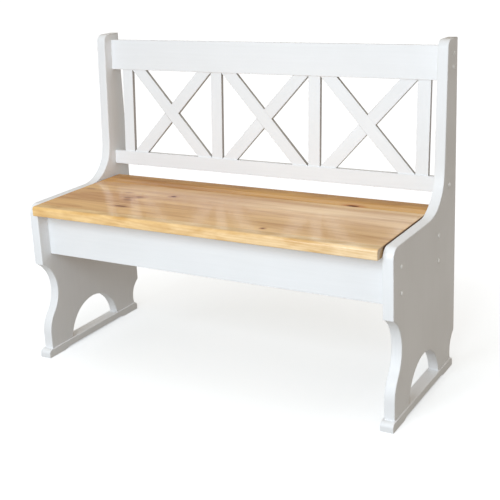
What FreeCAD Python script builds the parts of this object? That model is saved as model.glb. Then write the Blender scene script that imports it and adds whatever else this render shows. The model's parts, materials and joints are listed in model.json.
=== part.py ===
# Storage bench with a lift-up seat: two scrolled side panels on feet, a raked back with three
# crosses between two rails, and a shallow box under a seat that is hinged at its rear apron.
# Millimetres, +Z up, the front towards -Y, the origin on the floor under the middle of the bench.
import FreeCAD, Part
import math
import os
import Sketcher

Vector = FreeCAD.Vector

sizes = {
    # Whole bench
    "bench_length": 1104,          # outside of one side panel to outside of the other
    "bench_height": 900,           # floor to the top of the side panels
    # Side panels; "from back" is measured forwards from the panel's straight back edge
    "panel_thick": 28.5,
    "panel_depth": 444,            # back edge to the front edge below the seat
    "upright_depth": 71,           # width of the upright at its top
    "upright_lean": 3.2,           # degrees that the upright's front edge leaves the vertical
    "top_corner_radius": 22,
    "sweep_radius": 520,           # gentle curve from the upright towards the seat
    "sweep_turn": 7.3,             # degrees from the vertical where the tighter curve takes over
    "seat_curve_radius": 107,      # tighter curve that runs into the level shoulder
    "shoulder_drop": 2.5,          # the level shoulder lies this far below the seat's top
    "shoulder_corner_radius": 28,
    "bite_top": 287,               # corner where the scroll starts below the front edge
    "bite_depth": 53.5,
    "bite_radius": 102,
    "scroll_radius": 90,           # rounded swell below the bite
    "leg_setback": 4.5,            # the lower leg stands this far behind the front edge
    "arch_from_back": 234,         # middle of the arch between the legs
    "arch_width": 220,
    "arch_height": 96,
    "heel_top": 97,                # corner where the small rear bite starts
    "heel_depth": 32,
    "heel_radius": 58,
    "panel_edge_round": 2.5,
    # Feet
    "foot_height": 24,
    "foot_thick": 35.5,
    "foot_front_reach": 14,        # ahead of the panel's front edge
    "foot_back_inset": 20,         # short of the panel's back edge
    "foot_end_radius": 12,
    "foot_pad": 70,                # length of each pad that meets the floor
    "foot_relief_run": 22,         # slope from a pad up to the relief
    "foot_relief": 5,
    "foot_edge_round": 2,
    # Seat lid, glued up from boards
    "seat_top": 467,
    "seat_thick": 28,
    "seat_back_inset": 58,         # its rear edge, from the panels' back edge
    "seat_overhang": 21,           # ahead of the panels' front edge
    "seat_end_gap": 2.5,           # play between the lid and each side panel
    "seat_strip_width": 32,        # narrow board along the front
    "seat_board_count": 4,
    "seat_nose_radius": 8,
    "seat_under_radius": 4,
    "seat_end_round": 2,
    # Box under the seat
    "apron_thick": 20,
    "apron_height": 130,
    "front_apron_setback": 40.5,   # its front face, behind the panels' front edge
    "rear_apron_from_back": 143,   # its front face
    "board_edge_round": 1.5,
    "cleat_size": 18,
    "cleat_lift": 3,               # cleats sit this far above the aprons' lower edge
    "bottom_thick": 8,
    "bottom_play": 0.5,
    "batten_thick": 16,
    "batten_width": 40,
    "batten_side_inset": 175,      # from a side panel to the middle of the nearest batten
    "batten_count": 3,
    "batten_inset": 10,            # clear of the aprons at each end
    # Raked back
    "rake_angle": 4.1,
    "rail_thick": 20,
    "lower_rail_height": 41,
    "top_rail_height": 89,
    "lower_rail_front": 63.5,      # from back, at the middle of its height
    "lower_rail_rise": 57,         # its middle, above the seat's top
    "top_rail_drop": 17.4,         # its top edge, below the top of the side panels
    "lattice_thick": 12,
    "lattice_setback": 3,          # behind the rails' front faces
    "slat_width": 36,
    "slat_side_gap": 32,           # between a side panel and the slat beside it, on average
    "lattice_shift": 5,            # the whole lattice stands this far right of the middle
    "slat_count": 4,
    "brace_end": 49,               # length of a brace's level end along the rail
    "lattice_edge_round": 1,
    "dowel_diameter": 6,
    "dowel_length": 30,
    "dowel_play": 0.05,            # radial, and the same again at each end
    # Screws through the side panels, and their caps
    "frame_screw_diameter": 7,
    "frame_screw_length": 50,
    "frame_head_diameter": 10,
    "frame_head_height": 3,
    "apron_screw_spread": 68,
    "top_rail_screw_spread": 35,
    "top_rail_screw_rise": 7,      # above the middle of the top rail
    "cap_diameter": 12,
    "cap_rim": 1.2,                # upright edge of a cap, below its dome
    "cap_rise": 3.4,
    "cap_plug": 1.4,
    "screw_play": 0.05,            # radial play of every screw in its hole
    # Smaller countersunk screws
    "foot_screw_diameter": 5,
    "foot_screw_length": 50,
    "foot_screw_sink": 7,          # depth of the hole that hides the head
    "foot_screw_inset": 42,        # from each end of the foot
    "cleat_screw_diameter": 4,
    "cleat_screw_length": 30,
    "cleat_screw_side_inset": 75,  # from a side panel to the nearest cleat screw
    "cleat_screw_count": 5,
    "bottom_screw_diameter": 3.5,
    "bottom_screw_length": 20,     # one of them between each two cleat screws
    "batten_screw_diameter": 4,
    "batten_screw_length": 35,
    "batten_screw_edge": 10,       # least distance from a screw to the edge of a board
    "countersink_ratio": 2,        # head diameter over shank diameter
    # Butt hinges between the rear apron and the lid
    "hinge_side_inset": 125,       # from a side panel to the middle of the nearest hinge
    "hinge_count": 3,
    "hinge_length": 70,
    "hinge_leaf_width": 28,
    "hinge_leaf_thick": 1.6,
    "knuckle_radius": 4,
    "knuckle_count": 5,
    "knuckle_gap": 0.3,            # along the pin, between neighbouring knuckles
    "knuckle_stand_off": 0.4,      # between the knuckles and the wood
    "hinge_notch_play": 0.6,       # around the other leaf's knuckles
    "hinge_pin_radius": 1.5,
    "hinge_pin_play": 0.05,
    "hinge_pin_head_radius": 2.4,
    "hinge_pin_head_height": 0.8,
    "hinge_screw_diameter": 3.2,
    "hinge_screw_length": 15,
    "hinge_screw_line": 17,        # from the pin's axis
    "hinge_screw_pitch": 25,
    "hinge_screw_count": 3,
}

doc = FreeCAD.newDocument("StorageBench")
sheet = doc.addObject("Spreadsheet::Sheet", "Sizes")
for row, (name, value) in enumerate(sizes.items(), start=1):
    sheet.set("A%d" % row, name)
    sheet.set("B%d" % row, str(value))
    sheet.setAlias("B%d" % row, name)
doc.recompute()


class Size:
    """A number together with the formula that gives it from the sheet."""

    def __init__(self, value, formula):
        self.value = float(value)
        self.formula = formula

    def combine(self, sign, other, value):
        return Size(value, "(%s %s %s)" % (self.formula, sign, other.formula))

    def __add__(self, other):
        other = asSize(other)
        return self.combine("+", other, self.value + other.value)

    def __sub__(self, other):
        other = asSize(other)
        return self.combine("-", other, self.value - other.value)

    def __mul__(self, other):
        other = asSize(other)
        return self.combine("*", other, self.value * other.value)

    def __truediv__(self, other):
        other = asSize(other)
        return self.combine("/", other, self.value / other.value)

    def __radd__(self, other):
        return asSize(other) + self

    def __rsub__(self, other):
        return asSize(other) - self

    def __rmul__(self, other):
        return asSize(other) * self

    def __neg__(self):
        return asSize(0) - self


def asSize(number):
    return number if isinstance(number, Size) else Size(number, repr(float(number)))


def root(size):
    return Size(math.sqrt(size.value), "sqrt(%s)" % size.formula)


def sine(degrees):
    return Size(math.sin(math.radians(degrees.value)), "sin(%s)" % degrees.formula)


def cosine(degrees):
    return Size(math.cos(math.radians(degrees.value)), "cos(%s)" % degrees.formula)


class SizeTable:
    """Gives each cell of the sheet as an attribute."""

    def __init__(self, names):
        for name in names:
            setattr(self, name, Size(sheet.get(name), "Sizes." + name))


s = SizeTable(sizes)
parts = {}      # node name: the document object that carries its shape

# Places that several pieces share
innerHalf = s.bench_length / 2 - s.panel_thick
halfDepth = (s.panel_depth + s.seat_overhang) / 2
panelBottom = s.foot_height
seatBottom = s.seat_top - s.seat_thick
shoulderTop = s.seat_top - s.shoulder_drop
apronBottom = seatBottom - s.apron_height
apronMiddle = seatBottom - s.apron_height / 2
lowerRailLevel = s.seat_top + s.lower_rail_rise
backLength = (s.bench_height - s.top_rail_drop - lowerRailLevel) / cosine(s.rake_angle)
latticeBase = s.lower_rail_height / 2
latticeTop = backLength - s.top_rail_height


def fromBack(distance):
    """The Y of a place that lies this far ahead of the side panels' back edge."""
    return halfDepth - distance


def raked(up, behind):
    """Y and Z of a place in the leaning back: along its slope from the lower rail's middle, and
    behind the rails' front face."""
    lean = s.rake_angle
    y = fromBack(s.lower_rail_front) + sine(lean) * up + cosine(lean) * behind
    z = lowerRailLevel + cosine(lean) * up - sine(lean) * behind
    return y, z


def bind(thing, prop, size):
    thing.setExpression(prop, asSize(size).formula)


def newBody(label, place=None):
    body = doc.addObject("PartDesign::Body", label)
    if place is not None:
        for axis, size in zip("xyz", place):
            bind(body, "Placement.Base." + axis, size)
    return body


def rakedBody(label):
    """A body whose own frame leans with the back: its origin is in the middle of the lower rail's
    front face, its Z runs up the slope and its Y behind the face."""
    body = doc.addObject("PartDesign::Body", label)
    body.Placement = FreeCAD.Placement(Vector(), FreeCAD.Rotation(Vector(-1, 0, 0), 1))
    y, z = raked(asSize(0), asSize(0))
    bind(body, "Placement.Base.y", y)
    bind(body, "Placement.Base.z", z)
    bind(body, "Placement.Rotation.Angle", s.rake_angle)
    return body


def sketchOn(body, role, offset=0):
    """A sketch on one of the body's own origin planes, moved along the plane's normal."""
    sketch = body.newObject("Sketcher::SketchObject", body.Label + "_sketch")
    plane = [item for item in body.Origin.OriginFeatures if item.Role == role][0]
    sketch.AttachmentSupport = (plane, [""])
    sketch.MapMode = "FlatFace"
    bind(sketch, "AttachmentOffset.Base.z", offset)
    return sketch


def dimension(sketch, kind, size, *where):
    size = asSize(size)
    index = sketch.addConstraint(Sketcher.Constraint(kind, *where, size.value))
    sketch.setExpression("Constraints[%d]" % index, size.formula)


def outline(sketch, corners):
    """A closed run of lines and arcs. Each corner is (across, up), or (across, up, radius) where
    an arc leaves it: it bulges to the left of the way to the next corner, or to the right with a
    negative radius."""
    first = sketch.GeometryCount
    points = [Vector(asSize(c[0]).value, asSize(c[1]).value, 0) for c in corners]
    starts = []
    ends = []
    for index, corner in enumerate(corners):
        p = points[index]
        q = points[(index + 1) % len(points)]
        if len(corner) == 2:
            sketch.addGeometry(Part.LineSegment(p, q), False)
            starts.append(1)
            ends.append(2)
            continue
        radius = asSize(corner[2]).value
        half = (q - p) * 0.5
        rise = abs(radius) - math.sqrt(max(radius * radius - half.Length ** 2, 0))
        left = Vector(-half.y, half.x, 0).normalize()
        middle = p + half + left * math.copysign(rise, radius)
        sketch.addGeometry(Part.Arc(p, middle, q), False)
        forward = sketch.getPoint(first + index, 1).distanceToPoint(p) < 1e-6
        starts.append(1 if forward else 2)
        ends.append(2 if forward else 1)
    for index, corner in enumerate(corners):
        following = (index + 1) % len(corners)
        sketch.addConstraint(Sketcher.Constraint(
            "Coincident", first + index, ends[index], first + following, starts[following]))
        dimension(sketch, "DistanceX", corner[0], -1, 1, first + index, starts[index])
        dimension(sketch, "DistanceY", corner[1], -1, 1, first + index, starts[index])
        if len(corner) == 3:
            radius = asSize(corner[2])
            dimension(sketch, "Radius", radius if radius.value > 0 else -radius, first + index)


def circles(sketch, centres, diameter):
    for across, up in centres:
        across, up = asSize(across), asSize(up)
        ring = Part.Circle(Vector(across.value, up.value, 0), Vector(0, 0, 1), diameter.value / 2)
        index = sketch.addGeometry(ring, False)
        dimension(sketch, "DistanceX", across, -1, 1, index, 3)
        dimension(sketch, "DistanceY", up, -1, 1, index, 3)
        dimension(sketch, "Diameter", diameter, index)


def rectangle(sketch, low, high):
    outline(sketch, [(low[0], low[1]), (high[0], low[1]), (high[0], high[1]), (low[0], high[1])])


def pad(body, sketch, length, against=False):
    """Thickens a sketch along its plane's normal, or against it."""
    feature = body.newObject("PartDesign::Pad", body.Label + "_pad")
    feature.Profile = sketch
    bind(feature, "Length", length)
    feature.Reversed = against
    doc.recompute()
    return feature


def pocket(body, sketch, depth, along=False):
    """Cuts a sketch against its plane's normal, or along it, and makes sure that it cuts."""
    before = body.Shape.Volume
    feature = body.newObject("PartDesign::Pocket", body.Label + "_pocket")
    feature.Profile = sketch
    bind(feature, "Length", depth)
    feature.Reversed = along
    doc.recompute()
    if not body.Shape.Volume < before:
        raise RuntimeError("%s: a pocket cuts nothing" % body.Label)
    return feature


def roundEdges(body, radius, chosen):
    """Rounds the edges of the body's last feature that the test picks."""
    base = body.Tip
    names = ["Edge%d" % (i + 1) for i, edge in enumerate(base.Shape.Edges) if chosen(edge)]
    if not names:
        raise RuntimeError("%s: no edge to round" % body.Label)
    fillet = body.newObject("PartDesign::Fillet", body.Label + "_round")
    fillet.Base = (base, names)
    bind(fillet, "Radius", radius)
    doc.recompute()
    return fillet


def isAlong(edge, axis):
    """True for a straight edge along the given axis of the body."""
    box = edge.BoundBox
    spans = (box.XLength, box.YLength, box.ZLength)
    return spans[axis] > 1 and max(spans[:axis] + spans[axis + 1:]) < 1e-4


def isAt(edge, **limits):
    """True where the edge's middle has the named coordinates."""
    centre = edge.BoundBox.Center
    return all(abs(getattr(centre, axis) - size.value) < 0.01 for axis, size in limits.items())


def board(label, low, high, body=None):
    """A plain board between two opposite corners."""
    body = body or newBody(label)
    sketch = sketchOn(body, "XY_Plane", low[2])
    rectangle(sketch, low, high)
    pad(body, sketch, high[2] - low[2])
    parts[label] = body
    return body


def drill(body, role, level, centres, diameter, depth, along):
    """Round holes square to one of the body's planes, starting at a level along its normal."""
    sketch = sketchOn(body, role, level)
    circles(sketch, centres, diameter)
    return pocket(body, sketch, depth, along)


def countersink(body, role, level, centres, diameter, depth, along):
    """Screw holes whose mouths at the given level take a flat head."""
    sketch = sketchOn(body, role, level)
    circles(sketch, centres, diameter + s.screw_play * 2)
    doc.recompute()
    before = body.Shape.Volume
    hole = body.newObject("PartDesign::Hole", body.Label + "_holes")
    hole.Profile = sketch
    hole.Threaded = False
    hole.DepthType = "Dimension"
    hole.HoleCutType = "Countersink"
    hole.HoleCutCountersinkAngle = 90
    hole.DrillPoint = "Flat"
    hole.Reversed = along
    bind(hole, "Diameter", diameter + s.screw_play * 2)
    bind(hole, "HoleCutDiameter", diameter * s.countersink_ratio + s.screw_play * 2)
    bind(hole, "Depth", depth)
    doc.recompute()
    if not body.Shape.Volume < before:
        raise RuntimeError("%s: the screw holes cut nothing" % body.Label)
    return hole


def turned(label, profile):
    """A turned piece that isn't a node itself: its profile (radius, height) spun about Z."""
    body = newBody(label)
    sketch = sketchOn(body, "XZ_Plane")
    outline(sketch, profile)
    spin = body.newObject("PartDesign::Revolution", label + "_spin")
    spin.Profile = sketch
    spin.ReferenceAxis = (sketch, ["V_Axis"])
    spin.Angle = 360
    doc.recompute()
    return body


def countersunkScrew(label, diameter, length):
    """A pointed wood screw, its flat head at Z 0 and its point below."""
    shank = diameter / 2
    head = shank * s.countersink_ratio
    return turned(label, [
        (0, 0), (head, 0), (shank, shank - head), (shank, diameter - length), (0, -length)])


def copies(label, master, places):
    """One node of identical loose pieces: each place is a point and the way the piece points."""
    solids = []
    for point, way in places:
        solid = master.Shape.copy()
        turn = FreeCAD.Rotation(Vector(0, 0, -1), Vector(*way))
        solid.Placement = FreeCAD.Placement(Vector(*[asSize(v).value for v in point]), turn)
        solids.append(solid)
    item = doc.addObject("Part::Feature", label)
    item.Shape = Part.makeCompound(solids)
    parts[label] = item
    return item


def spread(count, pitch):
    """Evenly spaced places about zero."""
    return [pitch * (i - (count - 1) / 2) for i in range(count)]


def whole(size):
    return int(round(size.value))


def betweenPanels(count, inset):
    """Evenly spaced places between the side panels, the first and last at an inset from them."""
    return spread(whole(count), (innerHalf - inset) * 2 / (count - 1))


# Where the screws go through a side panel, as (Y, Z)
frontApronY = fromBack(s.panel_depth - s.front_apron_setback)
rearApronY = fromBack(s.rear_apron_from_back)
topScrewLevel = latticeTop + s.top_rail_height / 2 + s.top_rail_screw_rise
panelScrews = [raked(asSize(0), s.rail_thick / 2)]
for offset in spread(2, s.top_rail_screw_spread):
    panelScrews.append(raked(topScrewLevel + offset, s.rail_thick / 2))
for offset in spread(2, s.apron_screw_spread):
    panelScrews.append((frontApronY + s.apron_thick / 2, apronMiddle + offset))
    panelScrews.append((rearApronY + s.apron_thick / 2, apronMiddle + offset))

screwHole = s.frame_screw_diameter + s.screw_play * 2
headHole = s.frame_head_diameter + s.screw_play * 2
headHoleDepth = s.cap_plug + s.frame_head_height
screwReach = s.cap_plug + s.frame_screw_length - s.panel_thick   # into the rail or apron

# Where the foot screws go, as Y
footFrontY = fromBack(s.panel_depth + s.foot_front_reach)
footBackY = fromBack(s.foot_back_inset)
footScrewY = [footFrontY + s.foot_screw_inset, footBackY - s.foot_screw_inset]
footScrewHole = s.foot_screw_diameter + s.screw_play * 2
footHeadHole = s.foot_screw_diameter * s.countersink_ratio + s.screw_play * 2
footScrewReach = s.foot_screw_sink + s.foot_screw_length - s.foot_height


def panelOutline():
    """The side panel seen from its side, as (Y, Z), counter-clockwise from its heel."""
    back = fromBack(0)
    # Front of the upright: a leaning line, a gentle arc and a tighter one into the shoulder
    turnedIn = shoulderTop + s.seat_curve_radius * (1 - sine(s.sweep_turn))
    lineEnd = turnedIn + s.sweep_radius * (sine(s.sweep_turn) - sine(s.upright_lean))
    slope = sine(s.upright_lean) / cosine(s.upright_lean)
    lineDepth = s.upright_depth + (s.bench_height - lineEnd) * slope
    turnedDepth = lineDepth + s.sweep_radius * (cosine(s.upright_lean) - cosine(s.sweep_turn))
    shoulderDepth = turnedDepth + s.seat_curve_radius * cosine(s.sweep_turn)
    # Front scroll: a round bite, then a swell that ends upright on the leg
    legDepth = s.panel_depth - s.leg_setback
    biteCentre = s.panel_depth - s.bite_depth + s.bite_radius
    biteLip = biteCentre - s.panel_depth
    biteLevel = s.bite_top - root(s.bite_radius * s.bite_radius - biteLip * biteLip)
    swellCentre = legDepth - s.scroll_radius
    reach = s.bite_radius + s.scroll_radius
    across = biteCentre - swellCentre
    drop = root(reach * reach - across * across)
    share = s.bite_radius / reach
    # Arch between the legs
    archHalf = s.arch_width / 2
    archRadius = (archHalf * archHalf + s.arch_height * s.arch_height) / (s.arch_height * 2)
    # Rear bite above the heel
    heelCentre = s.heel_radius - s.heel_depth
    heelLevel = s.heel_top - root(s.heel_radius * s.heel_radius - heelCentre * heelCentre)
    heelDrop = heelLevel - panelBottom
    heelDepth = root(s.heel_radius * s.heel_radius - heelDrop * heelDrop) - heelCentre
    return [
        (back, s.heel_top),
        (back, s.bench_height),
        (fromBack(s.upright_depth), s.bench_height),
        (fromBack(lineDepth), lineEnd, s.sweep_radius),
        (fromBack(turnedDepth), turnedIn, s.seat_curve_radius),
        (fromBack(shoulderDepth), shoulderTop),
        (fromBack(s.panel_depth), shoulderTop),
        (fromBack(s.panel_depth), s.bite_top, s.bite_radius),
        (fromBack(biteCentre - across * share), biteLevel - drop * share, -s.scroll_radius),
        (fromBack(legDepth), biteLevel - drop),
        (fromBack(legDepth), panelBottom),
        (fromBack(s.arch_from_back + archHalf), panelBottom, archRadius),
        (fromBack(s.arch_from_back - archHalf), panelBottom),
        (fromBack(heelDepth), panelBottom, s.heel_radius),
    ]


def sidePanel(label, side):
    """A side panel: side is 1 on the right and -1 on the left."""
    start = innerHalf if side > 0 else -s.bench_length / 2
    inner, outer = (asSize(0), s.panel_thick)[::side]
    body = newBody(label, (start, 0, 0))
    sketch = sketchOn(body, "YZ_Plane")
    outline(sketch, panelOutline())
    pad(body, sketch, s.panel_thick)
    front = fromBack(s.panel_depth)
    roundEdges(body, s.shoulder_corner_radius, lambda edge: isAlong(edge, 0) and isAt(
        edge, y=front, z=shoulderTop))
    top = fromBack(s.upright_depth)
    roundEdges(body, s.top_corner_radius, lambda edge: isAlong(edge, 0) and isAt(
        edge, y=top, z=s.bench_height))
    roundEdges(body, s.panel_edge_round, lambda edge: edge.BoundBox.XLength < 0.01
               and edge.BoundBox.ZMax > panelBottom.value + 0.01)
    drill(body, "YZ_Plane", inner, panelScrews, screwHole, s.panel_thick, side > 0)
    drill(body, "YZ_Plane", outer, panelScrews, headHole, headHoleDepth, side < 0)
    drill(body, "XY_Plane", panelBottom, [(s.panel_thick / 2, y) for y in footScrewY],
          footScrewHole, footScrewReach + s.screw_play, True)
    parts[label] = body


def foot(label, side):
    """A foot under a side panel, cut away underneath between its two pads."""
    middle = (innerHalf + s.panel_thick / 2) * side
    body = newBody(label, (middle, 0, 0))
    sketch = sketchOn(body, "YZ_Plane", -s.foot_thick / 2)
    frontPad = footFrontY + s.foot_pad
    backPad = footBackY - s.foot_pad
    outline(sketch, [
        (footFrontY, 0),
        (frontPad, 0),
        (frontPad + s.foot_relief_run, s.foot_relief),
        (backPad - s.foot_relief_run, s.foot_relief),
        (backPad, 0),
        (footBackY, 0),
        (footBackY, s.foot_height),
        (footFrontY, s.foot_height),
    ])
    pad(body, sketch, s.foot_thick)
    roundEdges(body, s.foot_end_radius, lambda edge: isAlong(edge, 0) and isAt(
        edge, z=s.foot_height))
    roundEdges(body, s.foot_edge_round, lambda edge: edge.BoundBox.XLength < 0.01
               and edge.BoundBox.ZMax > s.foot_relief.value + 0.01)
    centres = [(0, y) for y in footScrewY]
    drill(body, "XY_Plane", 0, centres, footHeadHole, s.foot_screw_sink, True)
    countersink(body, "XY_Plane", s.foot_screw_sink, centres, s.foot_screw_diameter,
                s.foot_height - s.foot_screw_sink, True)
    parts[label] = body


# Side panels, feet and what screws them together
frameScrew = turned("frame_screw", [
    (0, 0),
    (s.frame_head_diameter / 2, 0),
    (s.frame_head_diameter / 2, -s.frame_head_height),
    (s.frame_screw_diameter / 2, -s.frame_head_height),
    (s.frame_screw_diameter / 2, -s.frame_screw_length),
    (0, -s.frame_screw_length),
])
capHalf = s.cap_diameter / 2
capCrown = s.cap_rise - s.cap_rim
capDome = (capHalf * capHalf + capCrown * capCrown) / (capCrown * 2)
plugEnd = s.screw_play * 2 - s.cap_plug
screwCap = turned("screw_cap", [
    (0, plugEnd),
    (s.frame_head_diameter / 2, plugEnd),
    (s.frame_head_diameter / 2, 0),
    (capHalf, 0),
    (capHalf, s.cap_rim, -capDome),
    (0, s.cap_rise),
])
footScrew = countersunkScrew("foot_screw", s.foot_screw_diameter, s.foot_screw_length)
for name, side in (("left", -1), ("right", 1)):
    outside = s.bench_length / 2 * side
    inwards = (-side, 0, 0)
    sidePanel(name + "_side_panel", side)
    foot(name + "_foot", side)
    sunk = outside - s.cap_plug * side
    copies(name + "_frame_screws", frameScrew, [((sunk, y, z), inwards) for y, z in panelScrews])
    copies(name + "_screw_caps", screwCap, [((outside, y, z), inwards) for y, z in panelScrews])
    middle = (innerHalf + s.panel_thick / 2) * side
    copies(name + "_foot_screws", footScrew,
           [((middle, y, s.foot_screw_sink), (0, 0, 1)) for y in footScrewY])


# Raked back: two rails, four slats and three pairs of half-lapped braces between them
latticeHeight = latticeTop - latticeBase
latticeMiddle = (latticeBase + latticeTop) / 2
dowelLine = s.lattice_setback + s.lattice_thick / 2
dowelHole = s.dowel_diameter + s.dowel_play * 2
dowelDepth = s.dowel_length / 2 + s.dowel_play
slatX = [x + s.lattice_shift
         for x in betweenPanels(s.slat_count, s.slat_side_gap + s.slat_width / 2)]
cellX = [(low + high) / 2 for low, high in zip(slatX, slatX[1:])]
cellHalf = (slatX[1] - slatX[0] - s.slat_width) / 2
braceFoot = cellHalf - s.brace_end / 2      # from a cell's middle to the middle of a brace's end
dowelX = slatX + [x + braceFoot * way for x in cellX for way in (-1, 1)]


def rail(label, low, high, screwLevels, dowelLevel, upwards):
    """A rail between the side panels, bored at its ends for screws and along one edge for dowels."""
    body = board(label, (-innerHalf, 0, low), (innerHalf, s.rail_thick, high), rakedBody(label))
    roundEdges(body, s.board_edge_round, lambda edge: isAlong(edge, 0))
    centres = [(s.rail_thick / 2, level) for level in screwLevels]
    for side in (-1, 1):
        drill(body, "YZ_Plane", innerHalf * side, centres, screwHole,
              screwReach + s.screw_play, side < 0)
    drill(body, "XY_Plane", dowelLevel, [(x, dowelLine) for x in dowelX],
          dowelHole, dowelDepth, upwards)


rail("lower_back_rail", -latticeBase, latticeBase, [asSize(0)], latticeBase, False)
rail("top_back_rail", latticeTop, backLength,
     [topScrewLevel + offset for offset in spread(2, s.top_rail_screw_spread)], latticeTop, True)


def dowelEnds(body, xs):
    """Bores both ends of a slat or brace for its dowels: xs is the lower and the upper X."""
    drill(body, "XY_Plane", latticeBase, [(xs[0], dowelLine)], dowelHole, dowelDepth, True)
    drill(body, "XY_Plane", latticeTop, [(xs[1], dowelLine)], dowelHole, dowelDepth, False)


for number, x in enumerate(slatX, start=1):
    label = "back_slat_%d" % number
    body = board(label, (x - s.slat_width / 2, s.lattice_setback, latticeBase),
                 (x + s.slat_width / 2, s.lattice_setback + s.lattice_thick, latticeTop),
                 rakedBody(label))
    roundEdges(body, s.lattice_edge_round, lambda edge: isAlong(edge, 2))
    dowelEnds(body, (x, x))


def brace(label, x, way):
    """A diagonal brace with level ends: way is 1 where it rises to the right. The falling one is
    notched from behind and the rising one from the front, so that they lie flush."""
    body = rakedBody(label)
    # the plane's normal points to the front, so the pad goes against it, to the back
    sketch = sketchOn(body, "XZ_Plane", -s.lattice_setback)
    half = s.brace_end / 2
    low = x - braceFoot * way
    high = x + braceFoot * way
    outline(sketch, [(low - half, latticeBase), (low + half, latticeBase),
                     (high + half, latticeTop), (high - half, latticeTop)])
    pad(body, sketch, s.lattice_thick, against=True)
    roundEdges(body, s.lattice_edge_round, lambda edge: edge.BoundBox.YLength < 0.01
               and edge.BoundBox.ZLength > 1)
    crossing = half * latticeHeight / (braceFoot * 2)
    depth = s.lattice_setback + (s.lattice_thick / 2 if way < 0 else 0)
    notch = sketchOn(body, "XZ_Plane", -depth)
    outline(notch, [(x - half, latticeMiddle), (x, latticeMiddle - crossing),
                    (x + half, latticeMiddle), (x, latticeMiddle + crossing)])
    pocket(body, notch, s.lattice_thick / 2, along=False)
    dowelEnds(body, (low, high))
    parts[label] = body


for number, x in enumerate(cellX, start=1):
    brace("brace_%d_rising" % number, x, 1)
    brace("brace_%d_falling" % number, x, -1)

dowelBody = turned("dowel", [
    (0, 0), (s.dowel_diameter / 2, 0), (s.dowel_diameter / 2, -s.dowel_length),
    (0, -s.dowel_length)])


def dowels(label, xs):
    """Dowels across both joints of the lattice, in one node."""
    lean = s.rake_angle
    down = (0, -sine(lean).value, -cosine(lean).value)
    places = []
    for joint in (latticeBase, latticeTop):
        y, z = raked(joint + s.dowel_length / 2, dowelLine)
        places += [((x, y, z), down) for x in xs]
    copies(label, dowelBody, places)


dowels("slat_dowels", slatX)
dowels("brace_dowels", dowelX[len(slatX):])


# Box under the seat: two aprons, a bottom on two cleats, and their screws
hingeX = betweenPanels(s.hinge_count, s.hinge_side_inset)
hingeScrewX = [x + offset for x in hingeX
               for offset in spread(whole(s.hinge_screw_count), s.hinge_screw_pitch)]
hingeScrewHole = s.hinge_screw_diameter + s.screw_play * 2
hingeScrewReach = s.hinge_screw_length - s.hinge_leaf_thick + s.screw_play
pinOffset = s.knuckle_radius + s.knuckle_stand_off
apronBack = rearApronY + s.apron_thick
pinY = apronBack + pinOffset
pinZ = seatBottom - pinOffset
boxFront = frontApronY + s.apron_thick
boxBack = rearApronY
cleatLow = apronBottom + s.cleat_lift
cleatHigh = cleatLow + s.cleat_size
cleatX = betweenPanels(s.cleat_screw_count, s.cleat_screw_side_inset)
cleatCentres = [(x, (cleatLow + cleatHigh) / 2) for x in cleatX]
cleatScrewHole = s.cleat_screw_diameter + s.screw_play * 2
cleatScrewReach = s.cleat_screw_length - s.cleat_size + s.screw_play
bottomX = [(low + high) / 2 for low, high in zip(cleatX, cleatX[1:])]
bottomY = [boxFront + s.cleat_size / 2, boxBack - s.cleat_size / 2]
bottomScrewHole = s.bottom_screw_diameter + s.screw_play * 2
bottomScrewReach = s.bottom_screw_length - s.bottom_thick + s.screw_play
bottomHigh = cleatHigh + s.bottom_thick


def apron(label, front):
    """An apron behind a front face at the given Y, bored at both ends for the frame screws."""
    body = board(label, (-innerHalf, front, apronBottom),
                 (innerHalf, front + s.apron_thick, seatBottom))
    roundEdges(body, s.board_edge_round, lambda edge: isAlong(edge, 0))
    centres = [(front + s.apron_thick / 2, apronMiddle + offset)
               for offset in spread(2, s.apron_screw_spread)]
    for side in (-1, 1):
        drill(body, "YZ_Plane", innerHalf * side, centres, screwHole,
              screwReach + s.screw_play, side < 0)
    return body


def cleat(label, body, face, way, bottomLine):
    """A cleat on an apron's inner face at the given Y: way is 1 where the cleat lies behind that
    face. Its screws run through it into the apron, which is bored for them here."""
    head = face + s.cleat_size * way
    low, high = (face, head) if way > 0 else (head, face)
    strip = board(label, (-innerHalf, low, cleatLow), (innerHalf, high, cleatHigh))
    # a level along the XZ plane's normal, which points to the front, is minus a Y
    countersink(strip, "XZ_Plane", -head, cleatCentres, s.cleat_screw_diameter,
                s.cleat_size, way > 0)
    drill(strip, "XY_Plane", cleatHigh, [(x, bottomLine) for x in bottomX],
          bottomScrewHole, bottomScrewReach, False)
    drill(body, "XZ_Plane", -face, cleatCentres, cleatScrewHole, cleatScrewReach, way > 0)
    return [((x, head, z), (0, -way, 0)) for x, z in cleatCentres]


frontApron = apron("front_apron", frontApronY)
rearApron = apron("rear_apron", rearApronY)
drill(rearApron, "XZ_Plane", -apronBack, [(x, pinZ - s.hinge_screw_line) for x in hingeScrewX],
      hingeScrewHole, hingeScrewReach, True)
cleatScrew = countersunkScrew("cleat_screw", s.cleat_screw_diameter, s.cleat_screw_length)
places = cleat("front_cleat", frontApron, boxFront, 1, bottomY[0])
places += cleat("rear_cleat", rearApron, boxBack, -1, bottomY[1])
copies("cleat_screws", cleatScrew, places)

storageBottom = board(
    "storage_bottom",
    (s.bottom_play - innerHalf, boxFront + s.bottom_play, cleatHigh),
    (innerHalf - s.bottom_play, boxBack - s.bottom_play, bottomHigh))
bottomPlaces = [(x, y) for y in bottomY for x in bottomX]
countersink(storageBottom, "XY_Plane", bottomHigh, bottomPlaces, s.bottom_screw_diameter,
            s.bottom_thick, False)
bottomScrew = countersunkScrew("bottom_screw", s.bottom_screw_diameter, s.bottom_screw_length)
copies("bottom_screws", bottomScrew, [((x, y, bottomHigh), (0, 0, -1)) for x, y in bottomPlaces])


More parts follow.
